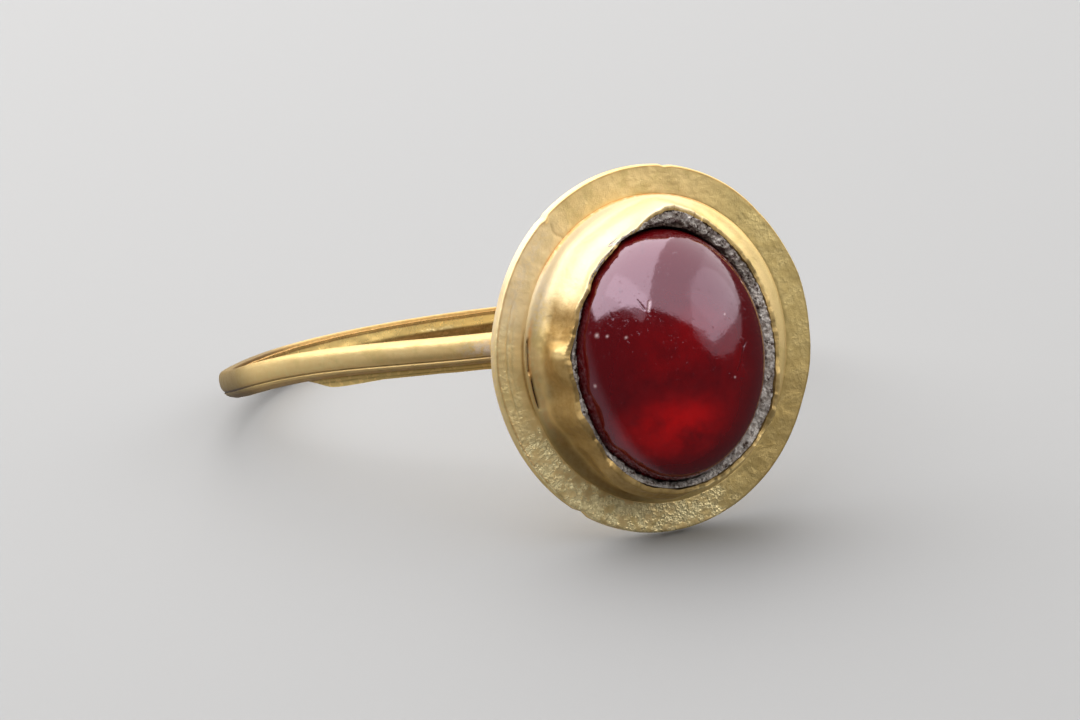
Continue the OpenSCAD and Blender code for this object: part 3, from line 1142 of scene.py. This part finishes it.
    def dented(self, angle: Array, share_up: Array) -> Array:
        """How far the wall is pushed outwards (or inwards, below 0) by its dents and its lower bulge.

        Args:
            angle: clock angles in degrees.
            share_up: share of the rim's height.

        Returns:
            A push at each place, in millimetres.
        """
        push = np.zeros_like(angle)
        for dent in self.dents:
            beside = bump_at(clock_off(angle, dent.clock), 0, dent.wide)
            push -= dent.deep * beside * bump_at(share_up, dent.share, dent.tall)
        bulge = self.bulge.at(angle) * bump_at(share_up, 0.66, 0.22)
        shoulder = self.shoulder.at(angle) * bump_at(share_up, 0.80, 0.30)
        return push + bulge + shoulder + self.ledge_out * self.ledge(angle, share_up)

    def ledge(self, angle: Array, share_up: Array) -> Array:
        """The short ledge on the left that faces up and catches the light, from 0 to 1.

        Args:
            angle: clock angles in degrees.
            share_up: share of the rim's height.

        Returns:
            The ledge's strength at each place.
        """
        past = clock_off(angle, 281.0)
        along = (1.0 - soft_step(past, -2.5, 2.5)) * soft_step(past, -20.0, -4.0)
        return along * bump_at(share_up, 0.70, 0.28)

    def stains(self, laid: Laid, share_in: Array, share_up: Array, across: Array) -> None:
        """Stores where the collar is dull, brown, coppery, dusty or granular, and where shade, light and a
        reflection are painted on.

        Args:
            laid: the drawn tube.
            share_in: share of the way from the foot to the rim.
            share_up: share of the rim's height.
            across: share of the way across the wall, 0 on the outer face.
        """
        angle = laid.angle
        outside = 1.0 - soft_step(across, 0.2, 0.8)
        foot = 1.0 - soft_step(share_in, 0.05, 0.3)
        foot_line = bump_at(share_in, 0.0, 0.06)
        wall = soft_step(share_up, 0.15, 0.35)
        brown = sum_of(self.brown_wall, angle) * wall
        brown *= 1.0 - self.clean_ledge.at(angle) * bump_at(share_up, 0.70, 0.28)
        # Painted shade: the foot of the wall on the lower left is darkened, where it lies in shade.
        painted_shade_valley = self.painted_shade_valley.at(angle) * bump_at(share_up, 0.12, 0.14)
        laid.stain("brown", np.maximum(brown, painted_shade_valley) * outside + 0.6 * (1 - outside))
        laid.stain("soot_and_shade", 1.2 * self.slots(angle, share_in) + 0.3 * painted_shade_valley * outside)
        # Painted reflection: the bright orange of the reflective valley at the foot of the left wall, laid on
        # as copper.
        painted_orange_reflection = self.painted_orange_reflection.at(angle) * bump_at(share_in, 0.38, 0.16)
        rust = self.rust.at(angle) * bump_at(share_in, 0.12, 0.08)
        laid.stain("copper", foot_line * self.copper_foot.at(angle) + rust + painted_orange_reflection)
        laid.stain("dull_and_shade", 0.3 * foot + 0.2 * wall)
        laid.stain("dust", self.dusty.at(angle) * bump_at(share_in, 0.3, 0.25))
        # Painted light on the upper left of the outer wall and the foot.
        laid.stain("painted_light", (self.painted_light_wall.at(angle) + self.painted_light_foot.at(angle) * foot) * outside)
        laid.stain("grain", 0.12 * wall * outside)


@dataclass
class Filler:
    """The crumbly filler between the stone and the collar, a cup that runs on under the stone."""

    lie: Lie
    sizes: SettingSizes
    finish: bpy.types.Material
    columns: int = 960
    top_rings: int = 22
    below_rim: float = 0.03
    gap: float = 0.018
    sag: float = 0.12
    crumbs: tuple[Lumps, ...] = (Lumps(0.075, 0.26, 21, 4), Lumps(0.055, 0.09, 22, 2))
    risen: Arc = Arc(290, 30, 16, 0.05)
    heaped: Arc = Arc(345, 75, 30, 0.6)
    eaten_top: Arc = Arc(325, 75, 30, 0.05)
    shaded: Arc = Arc(325, 110, 30, 0.7)

    def build(self) -> bpy.types.Object:
        """Models and dresses the filler.

        Returns:
            The filler.
        """
        s = self.sizes
        outer = [(1.0, 0.02), (1.0, 0.3), (1.0, 0.6), (1.0, 0.85)]
        top = [(1.0 - i / (self.top_rings - 1), 1.0) for i in range(self.top_rings)]
        inner = [(0.0, 0.8), (0.0, 0.5), (0.0, 0.3), (-1.0, 0.3)]
        section = np.array(outer + top + inner + [(-1.0, 0.02)])
        laid = tube("filler_rim", self.columns, len(section) + 1)
        index = laid.ring % len(section)
        share, level = section[index, 0], section[index, 1]
        angle = laid.angle
        band = np.maximum(s.band(angle), 5 * self.gap)
        offset = self.gap + np.clip(share, 0.0, 1.0) * (band - 2 * self.gap)
        flat = s.around_stone(angle, offset)
        flat = np.where((share < 0)[:, None], flat * 0.05, flat)
        below = self.below_rim - self.risen.at(angle)
        crest = np.minimum(0.98 * s.collar_h, s.rim_height(angle)) - below * s.collar_h
        crest = crest - self.sag * (1 - np.clip(share, 0, 1)) ** 1.5
        height = level * crest
        places = np.column_stack([flat, height])
        heap = 0.6 + self.heaped.at(angle)
        crumbs = heap * uneven(self.crumbs, places)
        on_top = (level > 0.95) & (share >= 0)
        height = height + np.where(on_top, crumbs, 0.0)
        eaten = 0.05 * np.clip(rough(places, 0.3, 23, 3), -1, 1)
        inward = flat / np.maximum(np.linalg.norm(flat, axis=1), 1e-6)[:, None]
        near_stone = bump_at(share, 0.0, 0.35) * (level > 0.6) * (share >= 0)
        flat = flat + inward * (near_stone * (np.abs(eaten) + self.eaten_top.at(angle)))[:, None]
        # Painted shade next to the stone, strongest on the upper right.
        wander = 0.3 * rough(places, 0.22, 24, 2)
        painted_gap_shade = 1.0 - soft_step(np.clip(share, 0.0, 1.0) + wander, 0.20, 0.50)
        laid.stain("shade", painted_gap_shade * (0.25 + self.shaded.at(angle)))
        laid.lay(self.lie.setting(raised(flat, height)))
        laid.close(self.finish)
        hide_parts("filler")
        return laid.piece


@dataclass(frozen=True)
class Mark:
    """A scratch, crack or speck on the stone, from one place to another, right and up from its middle."""

    start: tuple[float, float]
    end: tuple[float, float]
    wide: float
    deep: float
    stain: str


@dataclass
class Cabochon:
    """The tall domed stone, with its scratches, its crack and a few pale specks."""

    lie: Lie
    sizes: SettingSizes
    finish: bpy.types.Material
    columns: int = 560
    dome_rings: int = 150
    taper: float = 0.93
    worn: Lumps = Lumps(0.012, 2.2, 31, 2)

    marks: tuple[Mark, ...] = (
        Mark((-2.27, 2.15), (-2.29, 1.50), 0.022, 0.012, "scar"),
        Mark((-1.62, 1.94), (-1.53, 1.66), 0.022, 0.012, "scar"),
        Mark((-1.34, 1.87), (-1.44, 1.62), 0.026, 0.010, "speck"),
        Mark((-1.88, 2.32), (-1.91, 2.18), 0.022, 0.010, "scar"),
        Mark((1.95, 0.68), (1.35, 0.13), 0.022, 0.014, "scar"),
        Mark((1.35, 0.13), (0.99, -0.53), 0.020, 0.010, "scar"),
        Mark((-0.70, 3.45), (-0.92, 3.18), 0.022, 0.010, "scar"),
        Mark((-2.68, 1.05), (-2.67, 1.05), 0.050, -0.008, "speck"),
        Mark((-2.51, 1.01), (-2.50, 1.01), 0.032, -0.006, "speck"),
        Mark((-2.14, 0.93), (-2.13, 0.93), 0.032, -0.006, "speck"),
        Mark((-2.86, -0.42), (-2.85, -0.42), 0.040, -0.006, "speck"),
        Mark((0.82, 1.16), (0.83, 1.16), 0.028, -0.006, "speck"),
        Mark((2.10, 1.88), (2.11, 1.88), 0.040, -0.006, "speck"),
        Mark((0.86, -0.70), (0.87, -0.70), 0.028, -0.006, "speck"),
    )

    def build(self) -> bpy.types.Object:
        """Models and dresses the stone.

        Returns:
            The stone.
        """
        s = self.sizes
        base = s.girdle - s.stone_base
        section = [(0.0, base), (0.5, base), (self.taper - 0.03, base), (self.taper, base + 0.03)]
        section += [(self.taper + (1 - self.taper) * t, base + s.stone_base * t) for t in (0.3, 0.6, 0.9)]
        for step in range(self.dome_rings + 1):
            rise = math.radians(90.0 * step / self.dome_rings)
            section.append((math.cos(rise), s.girdle + s.dome_h * math.sin(rise)))
        line = np.array(section)
        laid = tube("cabochon", self.columns, len(line))
        share, height = line[laid.ring, 0], line[laid.ring, 1]
        flat = s.oval(s.stone_w / 2 * share, s.stone_h / 2 * share, laid.angle)
        places = np.column_stack([flat, height])
        worn = self.worn.at(places) * soft_step(height, s.girdle, s.girdle + 0.6)
        height = height + worn * (1 - share)
        drawn = {"scar": np.zeros_like(height), "speck": np.zeros_like(height)}
        for mark in self.marks:
            seen = self.near(places, mark) * (height > s.girdle)
            height = height - mark.deep * seen
            drawn[mark.stain] = np.maximum(drawn[mark.stain], seen)
        laid.lay(self.lie.setting(raised(flat - np.array([s.stone_shift, s.stone_low]), height)))
        for name, amount in drawn.items():
            laid.stain(name, 0.65 * amount)
        self.stains(laid, flat, height)
        laid.close(self.finish)
        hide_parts("stone")
        return laid.piece

    def on_dome(self, place: tuple[float, float]) -> Array:
        """A place on the dome, right, up and in front."""
        s = self.sizes
        level = 1.0 - (2 * place[0] / s.stone_w) ** 2 - (2 * place[1] / s.stone_h) ** 2
        return np.array([*place, s.girdle + s.dome_h * math.sqrt(max(level, 0.0))])

    def near(self, places: Array, mark: Mark) -> Array:
        """How strongly one mark shows at each place, from 0 to 1.

        Args:
            places: places on the stone.
            mark: the mark.

        Returns:
            The mark's strength at each place.
        """
        start = self.on_dome(mark.start)
        run = self.on_dome(mark.end) - start
        away = places - start
        along = np.clip(away @ run / (run @ run), 0.0, 1.0)
        return bump_at(np.linalg.norm(away - along[:, None] * run, axis=1), 0.0, mark.wide)

    def stains(self, laid: Laid, flat: Array, height: Array) -> None:
        """Stores where the stone's red is painted lighter: a painted glow low in its middle and painted light
        over its middle.

        Args:
            laid: the drawn tube.
            flat: places right and up from the stone's middle.
            height: heights in front of the plate.
        """
        # Painted glow low in the middle and painted light over the middle, both fading out towards the edges.
        painted_glow_distance = np.hypot((flat[:, 0] + 1.0) / 1.7, (flat[:, 1] + 1.9) / 1.25)
        middle = np.hypot((flat[:, 0] + 0.5) / 2.6, (flat[:, 1] + 0.7) / 3.3)
        above = soft_step(height, self.sizes.girdle + 0.1, self.sizes.girdle + 1.2)
        laid.stain("glow", (1.0 - soft_step(painted_glow_distance, 0.15, 1.15)) * above)
        laid.stain("painted_light_middle", (1.0 - soft_step(middle, 0.35, 1.0)) * above)


# The hoop


@dataclass
class HoopShell:
    """The hoop's round-backed shell, with two fine lips and a groove along its lower edge."""

    lie: Lie
    finish: bpy.types.Material
    columns: int = 840
    smooth_count: int = 60
    inner_count: int = 12
    worn_down: float = 0.007
    bends: tuple[Lumps, ...] = (Lumps(0.030, 2.6, 41, 2), Lumps(0.006, 0.35, 42, 2))
    even: Arc = Arc(330, 30, 40, 0.95)

    # Where the shell is stained or darker, and how strongly.
    dull_back: Arc = Arc(240, 330, 50, 0.3)
    blotched: Arc = Arc(196, 232, 14, 0.4)
    darker_back: Arc = Arc(270, 330, 16, 0.7)
    dusty: Arc = Arc(196, 214, 8, 0.8)

    # Share of the shell's thickness in from the round back, share of the band's width above its lower edge.
    section: tuple[tuple[float, float], ...] = (
        (1.00, 0.97), (0.93, 1.00), (0.70, 1.00), (0.40, 0.99), (0.15, 0.93), (0.03, 0.80), (0.00, 0.62),
        (0.04, 0.46), (0.10, 0.36), (0.13, 0.335), (0.165, 0.30), (0.24, 0.265), (0.25, 0.245), (0.215, 0.21),
        (0.22, 0.19), (0.30, 0.165), (0.32, 0.14), (0.45, 0.09), (0.62, 0.045), (0.78, 0.015), (0.90, 0.00),
        (1.00, 0.00),
    )

    def build(self) -> bpy.types.Object:
        """Models and dresses the shell.

        Returns:
            The shell.
        """
        outer = flow(self.section, self.smooth_count)
        inner = np.array([(1.0, u) for u in np.linspace(0.0, 0.97, self.inner_count)[1:-1]])
        line = np.clip(np.vstack([outer, inner]), 0.0, 1.0)
        laid = tube("hoop_shell", self.columns, len(line) + 1)
        index = laid.ring % len(line)
        depth, up = line[index, 0], line[index, 1]
        radius = self.lie.hoop_r - self.worn_down * (1.0 - depth) - depth * self.lie.shell_t
        across = (up - 0.5) * self.lie.band_w
        places = around(radius, laid.angle, across)
        outside = (1.0 - soft_step(depth, 0.5, 0.9)) * (1.0 - self.even.at(laid.angle))
        radius = radius + uneven(self.bends, places) * outside
        laid.lay(self.lie.hoop(around(radius, laid.angle, across)))
        self.stains(laid, depth, up)
        laid.close(self.finish)
        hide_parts("ring_body")
        return laid.piece

    def stains(self, laid: Laid, depth: Array, up: Array) -> None:
        """Stores where the shell is dull, brown, coppery, dusty or granular, and where it is painted darker
        in shade.

        Args:
            laid: the drawn tube.
            depth: share of the shell's thickness in from its round back.
            up: share of the band's width.
        """
        angle = laid.angle
        # Painted shade: the underside and, more faintly, the lower half are painted browner and duller.
        under = (1.0 - soft_step(up, 0.10, 0.20)) * soft_step(depth, 0.2, 0.4)
        groove = bump_at(up, 0.25, 0.03) * (depth < 0.4)
        shaded_low_half = (1.0 - soft_step(up, 0.42, 0.66)) * (depth < 0.3)
        blotches = self.blotched.at(angle) * bump_at(up, 0.42, 0.10) * (depth < 0.3)
        top = soft_step(up, 0.84, 0.97)
        # Darker towards the back on the left.
        laid.stain("soot_and_shade", self.darker_back.at(angle) + 0.5 * groove)
        laid.stain("brown", 0.75 * under + 0.55 * groove + 0.06 * shaded_low_half + 0.5 * (depth > 0.9)
                   + blotches + 0.3 * top)
        laid.stain("dull_and_shade", 0.2 * shaded_low_half + self.dull_back.at(angle) + 0.4 * top)
        laid.stain("copper", 0.12 + 0.25 * bump_at(up, 0.335, 0.02) * (depth < 0.4))
        laid.stain("dust", self.dusty.at(angle) * bump_at(up, 0.55, 0.25) + 0.1 * under)
        laid.stain("grain", 0.06 * (1.0 - under))
        laid.stain("skin", np.full_like(up, 0.20))


@dataclass
class HoopLining:
    """The inner sheet of the hoop: wavy upper edge, lower part painted darker in shade, and the flap sprung
    out below.
    """

    lie: Lie
    finish: bpy.types.Material
    columns: int = 840
    face_rings: int = 30
    drop: float = 0.08
    flap_drop: float = 0.3
    flap_end: float = 1.0
    pucker: float = 0.026
    crinkle: float = 0.006
    low_edge: Lumps = Lumps(0.012, 0.10, 53, 2)
    high_edge: Lumps = Lumps(0.016, 0.12, 54, 3)
    far: Arc = Arc(316, 80, 20)
    # Where the inner face is painted darker in shade towards the plate.
    painted_shade_near_plate: Arc = Arc(352, 80, 24, 0.95)
    # A small patch of painted glints on the far inner face.
    painted_glint_spot: Arc = Arc(7, 15, 4, 0.6)

    # Share of the radius in front of the finger's middle, share of the flap's depth.
    flap: tuple[tuple[float, float], ...] = (
        (-2.0, 0.0), (0.31, 0.0), (0.35, 0.35), (0.38, 0.66), (0.41, 0.92), (0.44, 1.0), (0.48, 0.99),
        (0.53, 0.88), (0.60, 0.73), (0.75, 0.66), (1.10, 0.66),
    )

    def build(self) -> bpy.types.Object:
        """Models and dresses the lining.

        Returns:
            The lining.
        """
        faces = np.linspace(0.0, 1.0, self.face_rings)
        inner = [(0.0, u) for u in faces]
        outer = [(1.0, u) for u in faces[::-1]]
        line = np.array(inner + [(0.3, 1.0), (0.7, 1.0)] + outer + [(0.7, 0.0), (0.3, 0.0)])
        laid = tube("hoop_lining_sheet", self.columns, len(line) + 1)
        index = laid.ring % len(line)
        through, share = line[index, 0], line[index, 1]
        low, high = self.edges(laid.angle)
        up = low + share * (high - low)
        radius = self.lie.finger_r + through * self.lie.lining_t
        places = around(radius, laid.angle, up)
        puckers = self.pucker * (np.clip(rough(places * [1, 1, 1.6], 0.9, 51, 2), -1, 1) + 1)
        crinkled = self.crinkle * self.far.at(laid.angle)
        puckers += crinkled * (np.clip(rough(places, 0.3, 52, 2), -1, 1) + 1)
        inward = np.where(through < 0.5, puckers * np.sin(np.pi * np.clip(share, 0, 1)) ** 0.5, 0.0)
        laid.lay(self.lie.hoop(around(radius + inward * 0.9, laid.angle, up)))
        self.stains(laid, share, through, up)
        laid.close(self.finish)
        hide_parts("hoop_lining")
        return laid.piece

    def edges(self, angle: Array) -> tuple[Array, Array]:
        """The lining's lower and upper edge at each clock angle, in millimetres.

        Args:
            angle: clock angles in degrees.

        Returns:
            The lower edge and the upper edge.
        """
        turn = np.radians(angle)
        ahead = -np.cos(turn)
        on_left = soft_step(-np.sin(turn) * self.lie.lining_r, self.flap_end - 0.05, self.flap_end + 0.05)
        rows = np.array(self.flap)
        flap = self.flap_drop * np.interp(ahead, rows[:, 0], rows[:, 1]) * on_left
        ring = around(1.0, angle, 0.0)
        low = -self.lie.band_w / 2 - flap + self.low_edge.at(ring) * soft_step(flap, 0.02, 0.1)
        high = self.lie.band_w / 2 - self.drop + self.high_edge.at(ring)
        return low, high

    def stains(self, laid: Laid, share: Array, through: Array, up: Array) -> None:
        """Stores where the lining is dull, brown, coppery, dusty or granular, and where shade and shadow are
        painted on.

        Args:
            laid: the drawn tube.
            share: share of the way from the lower edge to the upper.
            through: 0 on the inner face and 1 on the outer.
            up: heights along the finger, in millimetres.
        """
        angle = laid.angle
        inside = through < 0.5
        far = self.far.at(angle)
        # The upper edge is dark, and a dark line just below it is painted shadow under the curled rim.
        edge = bump_at(share, 1.0, 0.06) + 0.9 * bump_at(share, 0.90, 0.035) * far
        # Painted shade: the inner face is painted browner and darker low down and towards the plate.
        painted_shade_near_plate = self.painted_shade_near_plate.at(angle) * (1.0 - soft_step(share, 0.46, 0.60))
        low = 1.0 - soft_step(share, 0.10, 0.25)
        line = bump_at(share, 0.38, 0.05)
        below = -self.lie.band_w / 2 - up
        # Painted shadow just below the shell's lower edge, and a dark line along the flap's fold.
        painted_shadow_and_fold = (0.8 * bump_at(below, 0.0, 0.045) + 0.6 * bump_at(below, 0.13, 0.016)) * ~inside
        lined = np.maximum(0.35 * low * far + 0.2 * line * far, painted_shade_near_plate)
        laid.stain("brown", inside * lined + 0.8 * edge + painted_shadow_and_fold)
        laid.stain("soot_and_shade", 0.6 * painted_shade_near_plate * inside + 0.45 * bump_at(share, 0.90, 0.03) * far)
        laid.stain("copper", 0.35 * inside * line * far + 0.4 * edge)
        laid.stain("dull_and_shade", 0.2 * low)
        laid.stain("skin", np.where(inside, 0.14, 0.50))
        # Painted glints: a small patch of the far inner face takes the granular finish and its painted
        # glints.
        laid.stain("grain", inside * self.painted_glint_spot.at(angle) * bump_at(share, 0.58, 0.08))


# The studio


def direction(azimuth: float, elevation: float) -> Vector:
    """The direction towards an azimuth and an elevation, in degrees, from the ring's middle."""
    a, e = math.radians(azimuth), math.radians(elevation)
    return Vector((math.sin(a) * math.cos(e), -math.cos(a) * math.cos(e), math.sin(e)))


@dataclass(frozen=True)
class Softbox:
    """A soft light seen from the ring's middle at an azimuth and an elevation, in degrees.

    It faces the ring, or straight down where it is level, turned about the upright by some degrees.
    """

    name: str
    azimuth: float
    elevation: float
    distance: float
    wide: float
    high: float
    glow: float
    level: bool = False
    round: bool = False
    turn: float = 0.0


@dataclass
class Studio:
    """The pale floor, the soft lights and the camera at the photograph's angle."""

    lie: Lie
    lowest: float
    target: Vector

    # The photograph's frame, and where the plate's front middle lies in it, in pixels.
    frame_px: tuple[float, float] = (1080.0, 720.0)
    plate_px: tuple[float, float] = (657.1, 348.5)
    px_per_mm: float = 33.62
    distance: float = 148.7
    azimuth: float = -29.5
    elevation: float = 19.3
    sensor: float = 36.0
    floor_size: float = 3000.0

    # The room is dim, and brighter low behind the ring on the left.
    room_dim: float = 0.05
    room_glow: float = 0.32
    room_colour: Colour = (0.97, 0.98, 1.0, 1.0)
    glow_towards: tuple[float, float, float] = (-0.446, 0.687, -0.574)
    glow_from: float = 0.60
    glow_full: float = 0.84

    # The first three hang level side by side and share one front edge, the one that the stone mirrors.
    boxes: tuple[Softbox, ...] = (
        Softbox("ceiling_box", 116.9, 29.7, 314.4, 1070.0, 796.0, 1.50, level=True, turn=-40.5),
        Softbox("ceiling_left_box", 179.1, 24.6, 360.1, 442.0, 796.0, 2.1, level=True, turn=-40.5),
        Softbox("ceiling_right_box", 97.0, 20.6, 427.2, 300.0, 710.0, 0.25, level=True, turn=-40.5),
        Softbox("right_box", 56.0, 27.0, 215.0, 290.0, 190.0, 0.5, round=True),
        Softbox("left_box", -80.0, 52.0, 215.0, 240.0, 80.0, 0.8),
    )

    def build(self) -> None:
        """Sets the floor, the lights, the surroundings and the camera."""
        self.floor()
        for box in self.boxes:
            self.light(box)
        self.room()
        bpy.context.scene.view_settings.view_transform = "Standard"
        self.camera()

    def room(self) -> None:
        """Sets the dim room round the ring, with its brighter side."""
        world = bpy.data.worlds.new("studio_room")
        world.use_nodes = True
        nodes = Nodes(world.node_tree)
        background = world.node_tree.nodes["Background"]
        background.inputs["Color"].default_value = self.room_colour
        seen = nodes.add("ShaderNodeTexCoord", {}).outputs["Generated"]
        ahead = {0: seen, 1: Vector(self.glow_towards).normalized()}
        towards = nodes.add("ShaderNodeVectorMath", ahead, operation="DOT_PRODUCT").outputs["Value"]
        glow = nodes.ramp(towards, self.glow_from, self.glow_full, self.room_dim, self.room_glow)
        nodes.join(glow, background.inputs["Strength"])
        bpy.context.scene.world = world

    def floor(self) -> None:
        """Lays the floor just under the ring's lowest point."""
        deselect_all()
        bpy.ops.mesh.primitive_circle_add(vertices=96, radius=self.floor_size * MM, fill_type="NGON",
                                          location=(0.0, 0.0, 0.0))
        floor = bpy.context.object
        floor.name = "floor"
        edit(floor)
        bpy.ops.transform.translate(value=(0.0, 0.0, self.lowest))
        bpy.ops.object.mode_set(mode="OBJECT")
        floor.data.materials.append(FloorFinish().material())
        # The floor isn't mirrored in the ring, whose stone would look milky, and lets the room's low glow by.
        floor.visible_glossy = False
        floor.visible_shadow = False
        floor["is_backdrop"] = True

    def light(self, box: Softbox) -> None:
        """Hangs one soft light and aims it at the ring.

        Args:
            box: the light.
        """
        towards = direction(box.azimuth, box.elevation)
        bpy.ops.object.light_add(type="AREA", location=tuple(towards * box.distance * MM))
        lamp = bpy.context.object
        lamp.name = box.name
        aimed = towards.to_track_quat("Z", "Y").to_euler()
        lamp.rotation_euler = (0.0, 0.0, math.radians(box.turn)) if box.level else aimed
        lamp.data.shape = "ELLIPSE" if box.round else "RECTANGLE"
        lamp.data.size = box.wide * MM
        lamp.data.size_y = box.high * MM
        area = box.wide * box.high * MM * MM * (math.pi / 4 if box.round else 1.0)
        lamp.data.energy = math.pi * area * box.glow

    def camera(self) -> None:
        """Sets the camera so that the plate's front middle falls where the photograph has it."""
        turn = math.radians(self.azimuth)
        towards = direction(self.azimuth, self.elevation)
        right = Vector((math.cos(turn), math.sin(turn), 0.0))
        up = towards.cross(right)
        focal_px = self.px_per_mm * self.distance
        off_right = (self.plate_px[0] - self.frame_px[0] / 2) / focal_px
        off_up = (self.frame_px[1] / 2 - self.plate_px[1]) / focal_px
        back = (towards + right * off_right + up * off_up).normalized()
        right = (right - back * right.dot(back)).normalized()
        up = back.cross(right)
        bpy.ops.object.camera_add(location=tuple(self.target + towards * self.distance * MM))
        camera = bpy.context.object
        camera.name = "photo_camera"
        camera.rotation_euler = Matrix((right, up, back)).transposed().to_euler()
        camera.data.sensor_width = self.sensor
        camera.data.lens = focal_px / self.frame_px[0] * self.sensor
        camera.data.clip_start = 1 * MM
        camera.data.clip_end = 10.0
        bpy.context.scene.camera = camera


class Slot(Enum):
    """The record's material slots."""

    GOLD = "gold"
    LINING = "lining_gold"
    FILLER = "filler"
    STONE = "stone"


def box_of(bounds: object) -> list[list[float]]:
    """A pair of corners as plain lists."""
    return [list(map(float, corner)) for corner in bounds]


def main() -> None:
    """Loads the frame, builds every piece around it and sets the studio."""
    logging.basicConfig(level=logging.INFO, format="%(name)s: %(message)s")
    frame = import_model()
    cad_box = box_of(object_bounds())
    lie = read_lie(frame["record"])
    sizes = SettingSizes()
    gold = GoldFinish("worn_gold").material()
    lining_gold = GoldFinish("lining_gold", pale=(1.0, 0.72, 0.27, 1.0), satin=0.26, tooth=0.25,
                             mottle=0.1).material()
    makers = (
        (BezelPlate(lie, sizes, gold), Slot.GOLD),
        (Collar(lie, sizes, gold), Slot.GOLD),
        (HoopShell(lie, gold), Slot.GOLD),
        (HoopLining(lie, lining_gold), Slot.LINING),
        (Filler(lie, sizes, FillerFinish().material()), Slot.FILLER),
        (Cabochon(lie, sizes, StoneFinish().material()), Slot.STONE),
    )
    for maker, slot in makers:
        piece = maker.build()
        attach(piece, BODY)
        LOG.info("%s: %d faces", piece.name, len(piece.data.polygons))
    plate_middle = Vector(lie.setting(np.zeros((1, 3)))[0] * MM)
    Studio(lie, cad_box[0][2], plate_middle).build()


if __name__ == "__main__":
    main()
